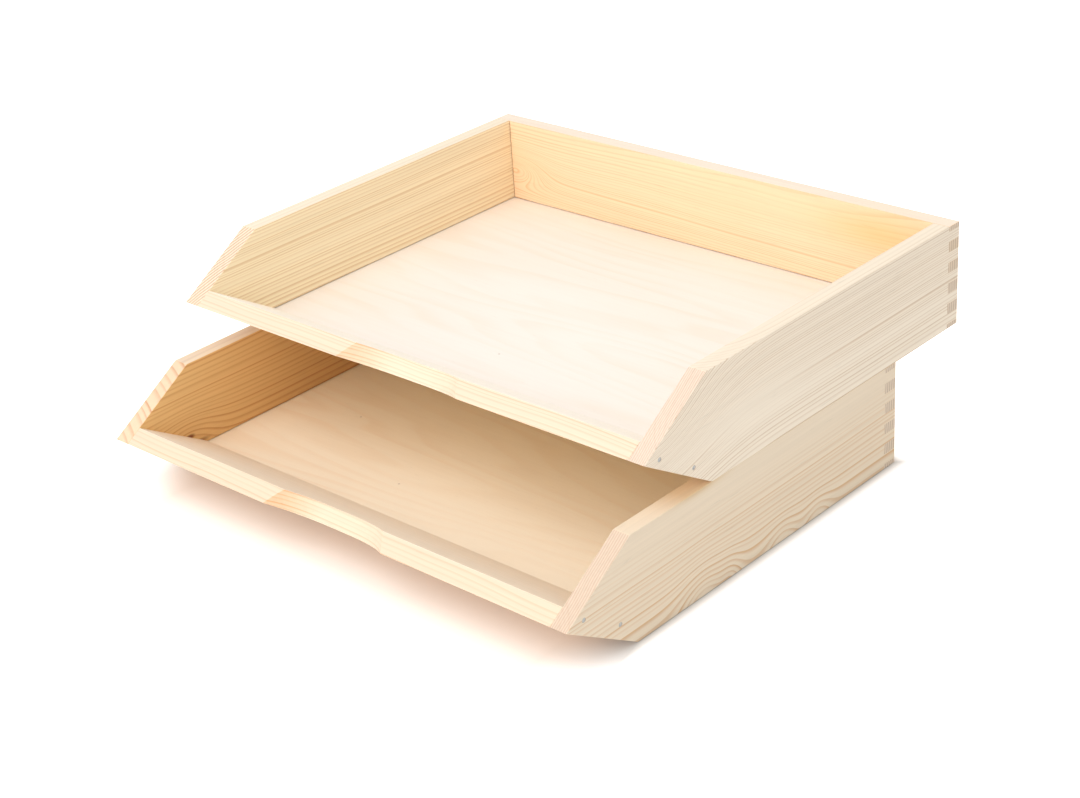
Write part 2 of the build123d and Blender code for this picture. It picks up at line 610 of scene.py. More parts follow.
    def material(self, centre: Vector) -> bpy.types.Material:
        """The finish for one board.

        Args:
            centre: the middle of the board.

        Returns:
            The material.
        """
        graph = Surface(self.name, centre)
        count, log = self.rings(graph)
        late = self.late_wood(graph, count)
        fibre = graph.drawn(log, self.fibres, 2.0, self.seed + 3)
        duct = graph.drawn(log, self.ducts, 0.0, self.seed + 11)
        base = self.worn_and_painted_highlight(graph, self.sawn(graph, self.wood(graph, log, late), late))
        # Painted shade: one patch is darkened on the faces that look up, to the right or to the front.
        if self.painted_shade_patch is not None:
            base = self.with_painted_shade(graph, base, self.painted_shade_patch.share(graph, self.grain))
        fine = graph.step(fibre, *self.FIBRE_RANGE, (1.03, 0.965))
        fine = graph.minus(fine, graph.step(duct, *self.DUCT_RANGE, (0.0, 0.10)))

        height = graph.plus(graph.times(late, 0.5), graph.times(fibre, 0.7))
        height = graph.minus(height, graph.step(duct, *self.DUCT_RANGE, (0.0, 0.5)))
        return graph.finish(
            Base_Color=graph.shaded(base, fine),
            Roughness=graph.step(fibre, *self.FIBRE_RANGE, (0.58, 0.72)),
            Specular_IOR_Level=0.30,
            Normal=graph.relief(height, 0.35, 0.12 * MM),
        )

    def wood(self, graph: Surface, log: Socket, late: Socket) -> Socket:
        """The wood's own colour: early wood with clouds and streaks, lines of late wood, and knots.

        Args:
            graph: the tree.
            log: the point in the log's frame.
            late: the share of late wood.

        Returns:
            The colour.
        """
        band = graph.drawn(log, self.bands, 2.0, self.seed + 5)
        cloud = graph.drawn(log, self.clouds, 2.0, self.seed + 7)
        base = graph.mix(graph.times(cloud, self.blush_share), self.early, self.blush)
        base = graph.mix(graph.step(band, *self.BAND_RANGE, (0.0, self.streaks)), base, self.late)
        base = graph.mix(graph.times(late, self.contrast), base, self.late)
        for knot in self.knots:
            dark = graph.step(knot.share(graph, self.grain), *self.KNOT_RANGE, (0.0, 0.85))
            base = graph.mix(dark, base, self.KNOT)
        return base

    def cut_lines(self, graph: Surface, spacing: float, lean: float) -> Socket:
        """Ring lines as a cut across the fibres shows them, side by side through the board's thickness.

        Args:
            graph: the tree.
            spacing: from one line to the next.
            lean: how far the lines lean over, for each metre upwards.

        Returns:
            The share of late wood, from 0 to 1.
        """
        x, y, z = graph.parts(graph.place)
        through = x if self.grain is Grain.ALONG_DEPTH else y
        drift = graph.noise(graph.place, self.DRIFT_SCALE, 1.0, self.seed + 13)[0]
        leaning = graph.plus(through, graph.times(z, lean))
        leaning = graph.plus(leaning, graph.times(drift, 2 * spacing))
        phase = graph.math("FRACT", graph.math("DIVIDE", leaning, spacing))
        return graph.ridge(phase, (0.30, 0.80), (0.85, 1.0))

    def sawn(self, graph: Surface, base: Socket, late: Socket) -> Socket:
        """The tones of the slopes and of a seam, with painted light on a rail's inner face and painted shade
        on the faces that look to the right.

        Args:
            graph: the tree.
            base: the wood's colour.
            late: the share of late wood.

        Returns:
            The colour.
        """
        x, y, _ = graph.parts(graph.normal)
        front = graph.times(y, -1.0)
        upright = graph.step(front, *self.UPRIGHT)
        lines = self.cut_lines(graph, self.slant_ring, self.slant_lean) if self.slant_ring else late
        slant = graph.mix(graph.times(lines, self.slant_contrast), self.slant, self.slant_late)
        sloping = graph.step(front, *self.FACING_FRONT, (0.0, 0.85))
        base = graph.mix(graph.times(sloping, graph.minus(1.0, upright)), base, slant)
        # Painted light: a rail's inner face, which looks back and up, is painted paler.
        if self.inner_face_painted_light is not None:
            rear = graph.step(y, *self.FACING_REAR, (0.0, 0.8))
            rear = graph.times(rear, graph.step(y, *self.NOT_UPRIGHT, (1.0, 0.0)))
            base = graph.mix(rear, base, self.inner_face_painted_light)
        if self.seam is not None:
            ragged = graph.noise(graph.place, self.SEAM_SCALE, 2.0, self.seed + 17)[0]
            away = graph.minus(graph.parts(graph.place)[0], self.seam)
            away = graph.minus(away, graph.times(ragged, self.SEAM_RAGGED))
            line = graph.times(graph.step(away, *self.SEAM_RANGE, (0.7, 0.0)), upright)
            base = graph.mix(line, base, self.SEAM)
        # Painted shade: faces that look to the right are tinted darker, and their ring lines drawn darker.
        right_face_painted_shade_share = graph.step(x, *self.PAINTED_SHADE_FACING)
        base = graph.tinted(right_face_painted_shade_share, base, self.right_face_painted_shade)
        return graph.mix(graph.times(graph.times(right_face_painted_shade_share, late), self.right_face_painted_shade_lines), base, self.slant_late)

    def worn_and_painted_highlight(self, graph: Surface, base: Socket) -> Socket:
        """Greyer end grain, faces that look up made paler as painted highlight, and paler sanded arrises.

        Args:
            graph: the tree.
            base: the wood's colour.

        Returns:
            The colour.
        """
        x, y, z = graph.parts(graph.normal)
        end = graph.mix(self.cut_lines(graph, self.end_ring, self.end_lean), self.end_grain, self.end_late)
        facing = graph.math("ABSOLUTE", y if self.grain is Grain.ALONG_DEPTH else x)
        base = graph.mix(graph.step(facing, *self.END_ON), base, end)
        # Painted highlight: faces that look up turn paler.
        base = graph.mix(graph.step(z, *self.UPWARDS, (0.0, self.top_painted_highlight_share)), base, self.top_painted_highlight)
        arris = graph.node("Attribute", attribute_name="arris").outputs["Fac"]
        return graph.tinted(graph.times(arris, 0.5), base, self.PALER)

    def with_painted_shade(self, graph: Surface, base: Socket, share: Socket) -> Socket:
        """The colour, darkened with painted shade in the board's painted shade patch.

        Args:
            graph: the tree.
            base: the wood's colour.
            share: how strong the painted shade is at the point.

        Returns:
            The colour.
        """
        x, y, z = graph.parts(graph.normal)
        seen = graph.minus(graph.plus(x, z), y)
        shade = graph.times(graph.math("MINIMUM", share, 1.0), graph.step(seen, *self.PAINTED_SHADE_FACING))
        return graph.tinted(shade, base, self.painted_shade_patch_tone)


@dataclass(frozen=True)
class Birch:
    """Birch plywood face: a peeled veneer with slow, faint figure and tiny flecks.

    Attributes:
        face: the veneer's tone, figure the tone of its figure, and underside that of the lower face.
        specks: places of small dark specks.
        painted_warm_shade_depths: between which two depths, y, the veneer turns warmer and darker by
            painted_warm_shade_tone, as painted shade.
        slow, clouds, fibres, flecks: how fine these patterns are, along the veneer and twice across it.
    """

    SPECK: ClassVar[Colour] = tone(140, 112, 84)
    SPECK_SIZE: ClassVar[Range] = (0.3 * MM, 1.0 * MM)

    name: str
    face: Colour = tone(248, 233, 214)
    figure: Colour = tone(232, 198, 156)
    figure_share: float = 0.14
    figure_lines: float = 22.0
    underside: Colour = tone(255, 228, 186)
    specks: tuple[Triple, ...] = ()
    painted_warm_shade_depths: Range | None = None
    painted_warm_shade_tone: Colour = (1.0, 0.96, 0.84)
    slow: Triple = (1.6, 11.0, 11.0)
    clouds: Triple = (5.0, 18.0, 18.0)
    fibres: Triple = (30.0, 520.0, 520.0)
    flecks: Triple = (220.0, 1500.0, 1500.0)
    seed: float = 0.0

    def material(self, centre: Vector) -> bpy.types.Material:
        """The finish for one panel.

        Args:
            centre: the middle of the panel.

        Returns:
            The material.
        """
        graph = Surface(self.name)
        inputs = {"Vector": graph.place, "Location": centre}
        local = graph.node("Mapping", inputs, vector_type="TEXTURE").outputs[0]
        slow = graph.drawn(local, self.slow, 2.5, self.seed, 0.45)
        cloud = graph.drawn(local, self.clouds, 3.0, self.seed + 2)
        fibre = graph.drawn(local, self.fibres, 2.0, self.seed + 4)
        fleck = graph.drawn(local, self.flecks, 0.0, self.seed + 6)
        phase = graph.math("FRACT", graph.times(slow, self.figure_lines))
        line = graph.ridge(phase, (0.30, 0.85), (0.85, 1.0))

        downwards = graph.times(graph.parts(graph.normal)[2], -1.0)
        base = graph.mix(graph.step(downwards, 0.4, 0.8), self.face, self.underside)
        share = graph.times(line, graph.step(cloud, 0.35, 0.7, (0.3, 1.0)))
        base = graph.mix(graph.times(share, self.figure_share), base, self.figure)
        base = graph.mix(graph.step(cloud, 0.35, 0.7, (0.0, 0.08)), base, self.figure)
        # Painted shade: the veneer turns warmer and darker towards the back.
        if self.painted_warm_shade_depths is not None:
            painted_warm_shade_share = graph.step(graph.parts(graph.place)[1], *self.painted_warm_shade_depths)
            base = graph.tinted(painted_warm_shade_share, base, self.painted_warm_shade_tone)
        fine = graph.step(fibre, 0.2, 0.8, (1.012, 0.985))
        base = graph.shaded(base, graph.minus(fine, graph.step(fleck, 0.72, 0.80, (0.0, 0.05))))
        for speck in self.specks:
            ends = {0: graph.place, 1: speck}
            away = graph.node("VectorMath", ends, operation="DISTANCE").outputs["Value"]
            base = graph.mix(graph.step(away, *self.SPECK_SIZE, (0.38, 0.0)), base, self.SPECK)
        return graph.finish(
            Base_Color=base,
            Roughness=graph.step(fibre, 0.2, 0.8, (0.50, 0.62)),
            Specular_IOR_Level=0.35,
            Normal=graph.relief(graph.plus(fibre, graph.times(line, 0.3)), 0.2, 0.08 * MM),
        )


@dataclass(frozen=True)
class BrightWire:
    """Dull bright steel of a brad, hammered and a little stained."""

    name: str = "brad_wire"
    steel: Colour = tone(200, 200, 198)
    stain: Colour = tone(170, 168, 164)
    wear_scale: float = 900.0
    scratches: Triple = (600.0, 2600.0, 600.0)

    def material(self) -> bpy.types.Material:
        """The finish for every brad.

        Returns:
            The material.
        """
        graph = Surface(self.name)
        wear = graph.noise(graph.place, self.wear_scale, 3.0, 1.0)[0]
        scratch = graph.drawn(graph.place, self.scratches, 2.0, 2.0)
        return graph.finish(
            Base_Color=graph.mix(graph.step(wear, 0.4, 0.7), self.steel, self.stain),
            Metallic=0.5,
            Roughness=graph.step(wear, 0.3, 0.7, (0.38, 0.62)),
            Normal=graph.relief(scratch, 0.4, 0.03 * MM),
        )


@dataclass(frozen=True)
class Beech:
    """Turned beech of a dowel, with its short dark rays."""

    name: str = "dowel_beech"
    body: Colour = tone(214, 176, 134)
    ray: Colour = tone(168, 118, 78)
    fibres: Triple = (1500.0, 1500.0, 90.0)
    rays: Triple = (1100.0, 1100.0, 350.0)

    def material(self) -> bpy.types.Material:
        """The finish for every dowel.

        Returns:
            The material.
        """
        graph = Surface(self.name)
        fibre = graph.drawn(graph.place, self.fibres, 2.0, 4.0)
        rays = graph.drawn(graph.place, self.rays, 1.0, 9.0)
        base = graph.mix(graph.step(fibre, 0.3, 0.8, (0.0, 0.4)), self.body, self.ray)
        return graph.finish(
            Base_Color=graph.mix(graph.step(rays, 0.62, 0.72, (0.0, 0.6)), base, self.ray),
            Roughness=graph.step(fibre, 0.2, 0.8, (0.5, 0.65)),
            Normal=graph.relief(fibre, 0.3, 0.05 * MM),
        )


# The boards of the stack, as they were sawn, with painted light and shade on some faces


PINE_BOARDS: dict[str, Pine] = {
    "upper_right_side": Pine(
        name="pine_upper_right_side", grain=Grain.ALONG_DEPTH, pith_across=-0.045, pith_through=-0.034,
        early=tone(245, 233, 214), late=tone(190, 155, 117), blush=tone(241, 224, 202),
        ring=1.3 * MM, late_share=0.42, contrast=0.74, lean_across=math.radians(0.8), waver=0.25 * MM,
        slant=tone(226, 207, 188), slant_late=tone(200, 152, 124), slant_ring=1.25 * MM,
        top_painted_highlight=tone(245, 229, 206), seed=1.0,
        swells=(Patch(-0.141, 0.018, 0.052, 0.040, 30 * MM),),
        calms=(Patch(-0.050, -0.004, 0.055, 0.012, 0.92),),
    ),
    "lower_right_side": Pine(
        name="pine_lower_right_side", grain=Grain.ALONG_DEPTH, pith_across=-0.042, pith_through=-0.030,
        early=tone(234, 219, 196), late=tone(205, 157, 101), blush=tone(235, 214, 188),
        ring=2.3 * MM, late_share=0.55, contrast=0.72, lean_across=math.radians(0.4), waver=0.4 * MM,
        slant=tone(217, 196, 175), slant_late=tone(194, 148, 120), slant_ring=1.35 * MM,
        top_painted_highlight=tone(243, 225, 200), seed=2.0,
        swells=(
            Patch(-0.034, -0.036, 0.020, 0.022, -9 * MM),
            Patch(-0.012, -0.036, 0.009, 0.016, -4.5 * MM),
            Patch(0.034, -0.036, 0.013, 0.015, -6 * MM),
            Patch(0.066, -0.034, 0.012, 0.013, -5 * MM),
        ),
        calms=(
            Patch(0.0, 0.029, 0.400, 0.018, 1.35),
            Patch(-0.034, -0.031, 0.011, 0.006, 0.75),
            Patch(0.034, -0.031, 0.009, 0.005, 0.75),
            Patch(0.066, -0.031, 0.008, 0.005, 0.75),
        ),
        # Painted shade on the top edge and just below it, under the upper tray's nose.
        painted_shade_patch=Patch(-0.036, 0.0320, 0.020, 0.0026, 1.3), painted_shade_patch_tone=(0.87, 0.77, 0.62),
    ),
    "upper_left_side": Pine(
        name="pine_upper_left_side", grain=Grain.ALONG_DEPTH, pith_across=-0.040, pith_through=-0.034,
        early=tone(247, 231, 196), late=tone(198, 146, 84), blush=tone(246, 222, 178),
        ring=1.5 * MM, late_share=0.60, contrast=0.60, lean_across=math.radians(-0.7), waver=0.4 * MM,
        slant=tone(240, 221, 198), slant_late=tone(188, 128, 92), slant_contrast=0.8,
        slant_ring=2.3 * MM, slant_lean=-0.9, seed=3.0,
    ),
    "lower_left_side": Pine(
        name="pine_lower_left_side", grain=Grain.ALONG_DEPTH, pith_across=-0.062, pith_through=-0.020,
        early=tone(250, 228, 190), late=tone(199, 135, 82), blush=tone(246, 209, 159),
        ring=3.2 * MM, late_share=0.45, contrast=0.64, lean_across=math.radians(2.4), waver=0.8 * MM,
        slant=tone(236, 208, 178), slant_late=tone(204, 138, 92), slant_contrast=0.75,
        # Painted shade: the inner face, which looks to the right, is tinted deep orange-brown.
        right_face_painted_shade=(0.91, 0.75, 0.50), seed=4.0,
        swells=(Patch(-0.097, -0.014, 0.022, 0.014, -9 * MM),),
        knots=(Patch(-0.097, -0.014, 0.0045, 0.0020, 1.0), Patch(-0.090, -0.0195, 0.0110, 0.0024, 0.72)),
        # Painted shade on the inner face, darker towards the back.
        painted_shade_patch=Patch(0.070, 0.0, 0.130, 0.200, 1.0), painted_shade_patch_tone=(0.75, 0.62, 0.52),
    ),
    "upper_back_board": Pine(
        name="pine_upper_back_board", grain=Grain.ALONG_WIDTH, pith_across=0.040, pith_through=0.030,
        early=tone(247, 216, 181), late=tone(220, 158, 94), blush=tone(246, 207, 153),
        ring=1.3 * MM, contrast=0.68, lean_across=math.radians(2.2), lean_through=math.radians(1.2),
        waver=0.8 * MM, seam=-0.162, top_painted_highlight=tone(250, 240, 228), seed=5.0,
        swells=(Patch(-0.159, 0.0, 0.022, 0.010, 18 * MM),),
        calms=(Patch(0.070, 0.018, 0.180, 0.020, 0.8),),
        # Painted shade: a darker, more golden patch towards the right end, high on the face.
        painted_shade_patch=Patch(0.128, 0.016, 0.040, 0.012, 0.9), painted_shade_patch_tone=(0.98, 0.88, 0.66),
    ),
    "lower_back_board": Pine(
        name="pine_lower_back_board", grain=Grain.ALONG_WIDTH, pith_across=-0.030, pith_through=0.026,
        early=tone(244, 224, 190), late=tone(212, 166, 116),
        ring=1.6 * MM, contrast=0.5, lean_across=math.radians(-2.0), seed=6.0,
    ),
    "upper_front_rail": Pine(
        name="pine_upper_front_rail", grain=Grain.ALONG_WIDTH, pith_across=-0.031, pith_through=-0.050,
        early=tone(253, 237, 215), late=tone(240, 204, 162), blush=tone(251, 231, 206),
        ring=2.2 * MM, late_share=0.40, contrast=0.48, lean_across=math.radians(0.5),
        waver=0.8 * MM, waver_length=0.10,
        slant=tone(236, 210, 184), slant_late=tone(208, 156, 104),
        # Painted shade on faces that look to the right, a side of the scoop among them, and painted light on
        # the inner face.
        right_face_painted_shade=(0.92, 0.83, 0.73), right_face_painted_shade_lines=0.7, inner_face_painted_light=tone(255, 250, 240), seed=7.0,
        knots=(Patch(0.1612, 0.0125, 0.0012, 0.0009, 1.0), Patch(0.0455, 0.0125, 0.0010, 0.0008, 0.9)),
    ),
    "lower_front_rail": Pine(
        name="pine_lower_front_rail", grain=Grain.ALONG_WIDTH, pith_across=-0.034, pith_through=-0.050,
        early=tone(254, 237, 215), late=tone(242, 208, 168), blush=tone(253, 231, 206),
        ring=2.6 * MM, late_share=0.40, contrast=0.5, lean_across=math.radians(0.9),
        waver=1.2 * MM, waver_length=0.12,
        slant=tone(237, 205, 178), slant_late=tone(208, 154, 102), slant_contrast=0.5,
        # Painted shade on faces that look to the right, a side of the scoop among them, and painted light on
        # the inner face.
        right_face_painted_shade=(0.90, 0.77, 0.63), right_face_painted_shade_lines=0.7, inner_face_painted_light=tone(255, 243, 224), seed=8.0,
        knots=(Patch(0.1612, 0.0125, 0.0012, 0.0009, 1.0),),
    ),
}

PANELS: dict[str, Birch] = {
    "upper_bottom_panel": Birch(
        name="birch_upper_panel", face=tone(249, 240, 230), specks=((-0.006, -0.0223, 0.072),), seed=21.0,
    ),
    "lower_bottom_panel": Birch(
        name="birch_lower_panel", face=tone(255, 242, 219), figure=tone(236, 196, 150), figure_share=0.18,
        # Painted shade: warmer and darker towards the back, under the upper tray.
        specks=((-0.0306, -0.0861, 0.009), (-0.1091, -0.0404, 0.009)), painted_warm_shade_depths=(-0.11, 0.02), seed=22.0,
    ),
}


# The trays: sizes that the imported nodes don't give, the plan of a tray and its pieces


@dataclass(frozen=True)
class CutSizes:
    """How cutters reach past what they cut.

    Attributes:
        proud: past the open end of a slot or groove.
        groove_end: past the panel's edge.
        groove_top: above the panel's upper face.
        near: how close to a face a point counts as on it.
        scoop_segments: the steps in each round of the scoop.
    """

    proud: float = 1 * MM
    groove_end: float = 0.4 * MM
    groove_top: float = 0.6 * MM
    near: float = 0.05 * MM
    scoop_segments: int = 64


@dataclass(frozen=True)
class BradSizes:
    """A brad, from its head to its point, and the hole that it is driven in.

    Attributes:
        point_share: how wide the point's end is, as a share of the shank.
        sunk: how far the head lies under the side's face.
        fit: how much wider the hole is than the brad.
        hole_proud: how far the hole's cutter reaches out of the side.
        rim: the round at the head's edge.
        dimple_margin: the width of the flat round the hammered dimple, and dimple_depth its depth.
        sides: the steps round the brad.
    """

    head_thickness: float = 0.8 * MM
    shank_radius: float = 0.8 * MM
    point_length: float = 2.5 * MM
    point_share: float = 0.06
    sunk: float = 0.12 * MM
    fit: float = 0.05 * MM
    hole_proud: float = 0.2 * MM
    rim: float = 0.18 * MM
    dimple_margin: float = 0.45 * MM
    dimple_depth: float = 0.10 * MM
    sides: int = 24


@dataclass(frozen=True)
class NickSizes:
    """Splinters broken out of the rail's tip, most of them by the noses.

    Attributes:
        start: how far from the nose the first one begins.
        stretch: how much longer than its radius a nick is along the tip.
        squash: how flat it is along y and z.
        drop: how far under the tip its middle lies, as a share of its radius.
        turn: how far it is turned about the tip, in radians.
        near_end: how far from the noses they stand close, near_gap apart, and further off far_gap.
    """

    start: float = 0.3 * MM
    radius: Range = (0.25 * MM, 0.75 * MM)
    stretch: Range = (1.2, 2.6)
    squash: tuple[float, float] = (0.7, 0.9)
    drop: float = 0.3
    turn: Range = (0.0, 3.0)
    near_end: float = 9 * MM
    near_gap: Range = (0.2 * MM, 1.5 * MM)
    far_gap: Range = (12 * MM, 45 * MM)


@dataclass(frozen=True)
class PanelLie:
    """How unevenly thin plywood lies: waves of this length and rise, over so many cuts."""

    cuts: int = 24
    wave: float = 0.09
    rise: float = 0.12 * MM


class TrayPlan:
    """Sizes and places of one tray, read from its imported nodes."""

    SAME_PLACE: ClassVar[float] = 0.01 * MM
    ON_FACE: ClassVar[float] = 0.02 * MM

    def __init__(self, prefix: str) -> None:
        """Reads the plan.

        Args:
            prefix: the word that the tray's nodes start with.
        """
        self.boxes: dict[str, Box] = {
            name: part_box(name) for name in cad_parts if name.startswith(prefix)
        }
        side_low, side_high = self.boxes[f"{prefix}_right_side"]
        self.inner_x = side_low.x
        self.outer_x = side_high.x
        self.front, self.back = side_low.y, side_high.y
        self.base, self.top = side_low.z, side_high.z
        self.back_face = self.boxes[f"{prefix}_back_board"][0].y
        side = self.points(f"{prefix}_right_side")
        self.tip = Vector((0, self.front, self.level(side, "y", self.front, "z")[0]))
        self.slope_top = Vector((0, self.level(side, "z", self.top, "y")[0], self.top))
        self.slope_foot = Vector((0, self.level(side, "z", self.base, "y")[0], self.base))
        self.finger_marks = self.level(side, "y", self.back, "z")
        self.down = (self.slope_foot - self.tip).normalized()
        self.inward = Vector((0, -self.down.z, self.down.y))
        rail = self.points(f"{prefix}_front_rail")
        highest = max(rail, key=lambda point: point.z)
        self.rail_thickness = (highest - self.tip).dot(self.inward)
        self.read_scoop(rail)

    @staticmethod
    def points(node: str) -> list[Vector]:
        """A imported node's vertices."""
        return [vertex.co.copy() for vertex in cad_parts[node].data.vertices]

    @classmethod
    def level(cls, points: list[Vector], axis: str, value: float, other: str) -> list[float]:
        """The different places, on another axis, of the points that lie at a value on one axis.

        Args:
            points: the points to look through.
            axis: the axis that the value is on.
            value: where the points lie on it.
            other: the axis to read.

        Returns:
            The places, sorted, each once.
        """
        near = cls.SAME_PLACE
        found: list[float] = []
        for place in sorted(getattr(p, other) for p in points if abs(getattr(p, axis) - value) < near):
            if not found or place - found[-1] > near:
                found.append(place)
        return found

    def read_scoop(self, rail: list[Vector]) -> None:
        """Finds the scoop's floor and rounds on the rail's outer face.

        Args:
            rail: the rail's vertices.
        """
        near = self.ON_FACE
        outer = [p for p in rail if abs((p - self.tip).dot(self.inward)) < near]
        depths = [(abs(p.x), (p - self.tip).dot(self.down)) for p in outer]
        mouth = min(x for x, depth in depths if depth < near)
        length = (self.slope_foot - self.tip).length
        self.scoop_floor, self.scoop_depth = min((x, d) for x, d in depths if near < d < length / 2)
        run = mouth - self.scoop_floor
        self.scoop_radius = (run**2 + self.scoop_depth**2) / (2 * self.scoop_depth)


@dataclass
class Tray:
    """One tray: five boards and four brads, each a piece of its own.

    Attributes:
        prefix: the word that the tray's nodes start with.
        body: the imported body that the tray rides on.
    """

    prefix: str
    body: str
    arris: Arris = Arris()
    cuts: CutSizes = CutSizes()
    brad: BradSizes = BradSizes()
    nicks: NickSizes = NickSizes()
    lie: PanelLie = PanelLie()

    def __post_init__(self) -> None:
        """Reads the tray's plan."""
        self.plan = TrayPlan(self.prefix)

    def build(self) -> None:
        """Makes, dresses and places every piece of the tray."""
        for hand in Hand:
            self.place(self.side(hand), f"{self.prefix}_{hand.word}_side", "pine")
        self.place(self.back_board(), f"{self.prefix}_back_board", "pine")
        self.place(self.front_rail(), f"{self.prefix}_front_rail", "pine")
        self.place(self.panel(), f"{self.prefix}_bottom_panel", "birch_plywood")
        wire = BrightWire().material()
        for node in self.plan.boxes:
            if node.endswith("_brad"):
                self.place(self.brad_piece(node, self.brad.sunk, 0.0), node, "brad_steel", wire)

    def place(
        self, piece: bpy.types.Object, node: str, slot: str, finish: bpy.types.Material | None = None
    ) -> None:
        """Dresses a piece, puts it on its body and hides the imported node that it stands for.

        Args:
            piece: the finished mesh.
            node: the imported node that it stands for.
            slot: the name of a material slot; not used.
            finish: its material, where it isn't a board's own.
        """
        if finish is None:
            low, high = self.plan.boxes[node]
            finish = (PINE_BOARDS.get(node) or PANELS[node]).material((low + high) / 2)
        dress(piece, finish)
        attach(piece, self.body)
        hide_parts(node)
        LOG.info("%s: %d faces", piece.name, len(piece.data.polygons))

    @property
    def panel_box(self) -> Box:
        """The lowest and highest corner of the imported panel."""
        return self.plan.boxes[f"{self.prefix}_bottom_panel"]

    def brads(self, hand: Hand) -> list[str]:
        """The nodes of the brads on one side."""
        return [name for name in self.plan.boxes if name.endswith("_brad") and f"_{hand.word}_" in name]

    def slot_ranges(self, of_side: bool) -> list[Range]:
        """Height ranges of the slots in one end of a board.

        Args:
            of_side: True for the slots in the side, False for those in the back board.

        Returns:
            The lower and upper height of each slot, a little proud of the board where it is open.
        """
        edges = list(self.plan.finger_marks)
        if of_side:
            edges = [self.plan.base - self.cuts.proud, *edges, self.plan.top + self.cuts.proud]
        return list(zip(edges[0::2], edges[1::2]))

    def finger_cutters(self, of_side: bool, hand: Hand) -> list[bpy.types.Object]:
        """Cutters across one corner of the tray, for the slots of one end of a board.

        Args:
            of_side: True for the slots in the side, False for those in the back board.
            hand: which end.

        Returns:
            One cutter for each slot.
        """
        plan, proud = self.plan, self.cuts.proud
        x_low, x_high = sorted((hand.value * plan.inner_x, hand.value * (plan.outer_x + proud)))
        return [
            blank("cutter", Vector((x_low, plan.back_face, low)), Vector((x_high, plan.back + proud, high)))
            for low, high in self.slot_ranges(of_side)
        ]

    def groove_cutter(self, x_range: Sequence[float], y_range: Range) -> bpy.types.Object:
        """A cutter for the panel's groove over a plan area, at the groove's own height.

        Args:
            x_range: from left to right.
            y_range: from front to back.

        Returns:
            The cutter.
        """
        low, high = self.panel_box
        top = high.z + self.cuts.groove_top
        return blank("cutter", Vector((x_range[0], y_range[0], low.z)), Vector((x_range[1], y_range[1], top)))

    def in_joint(self, point: Vector) -> bool:
        """Whether an edge lies in one of the box joints, and not on the tray's own outer edges.

        Args:
            point: the edge's middle.

        Returns:
            True where the edge is eased less.
        """
        plan, near = self.plan, self.cuts.near
        corner = abs(point.x) > plan.inner_x - near and point.y > plan.back_face - near
        end = min(plan.top - point.z, point.z - plan.base, plan.back - point.y) < near
        outer = plan.outer_x - abs(point.x) < near
        return corner and not (end and outer)

    def saw_nose(self, board: bpy.types.Object) -> None:
        """Saws a board to the nose's front slope and to the slope back under it.

        Args:
            board: the squared blank.
        """
        rise = self.plan.slope_top - self.plan.tip
        saw(board, self.plan.tip, Vector((0, -rise.z, rise.y)))
        saw(board, self.plan.tip, -self.plan.inward)

    def side(self, hand: Hand) -> bpy.types.Object:
        """A side: sloped nose, slots for the back's fingers, stopped groove, brad holes.

        Args:
            hand: left or right.

        Returns:
            The finished board.
        """
        node = f"{self.prefix}_{hand.word}_side"
        board = blank(f"{node}_board", *self.plan.boxes[node])
        self.saw_nose(board)
        carve(board, *self.finger_cutters(True, hand))
        low, high = self.panel_box
        slack = self.cuts.groove_end
        x_range = sorted((hand.value * (self.plan.inner_x - self.cuts.proud), hand.value * (high.x + slack)))
        carve(board, self.groove_cutter(x_range, (low.y - slack, high.y + slack)))
        self.arris.ease(board, self.in_joint)
        holes = [self.brad_piece(name, -self.brad.hole_proud, self.brad.fit) for name in self.brads(hand)]
        carve(board, *holes)
        return board

    def back_board(self) -> bpy.types.Object:
        """The back: fingers at both ends and a stopped groove between the sides.

        Returns:
            The finished board.
        """
        plan = self.plan
        node = f"{self.prefix}_back_board"
        board = blank(f"{node}_piece", *plan.boxes[node])
        for hand in Hand:
            carve(board, *self.finger_cutters(False, hand))
        y_range = (plan.back_face - self.cuts.proud, self.panel_box[1].y + self.cuts.groove_end)
        carve(board, self.groove_cutter((-plan.inner_x, plan.inner_x), y_range))
        self.arris.ease(board, self.in_joint)
        return board

    def front_rail(self) -> bpy.types.Object:
        """The rail: bevelled flush with both noses, scooped for the fingers, grooved for the panel.

        Returns:
            The finished board.
        """
        plan, proud = self.plan, self.cuts.proud
        node = f"{self.prefix}_front_rail"
        low, high = plan.boxes[node]
        rail = blank(f"{node}_piece", low, high)
        self.saw_nose(rail)
        saw(rail, plan.tip + plan.inward * plan.rail_thickness, plan.inward)
        carve(rail, self.scoop_cutter())
        y_range = (self.panel_box[0].y - self.cuts.groove_end, high.y + proud)
        carve(rail, self.groove_cutter((low.x - proud, high.x + proud), y_range))
        self.arris.ease(rail, lambda point: abs(point.x) > plan.inner_x - self.cuts.near)
        for hand in Hand:
            carve(rail, *[self.brad_piece(name, 0.0, self.brad.fit) for name in self.brads(hand)])
        carve(rail, *self.nick_cutters())
        return rail

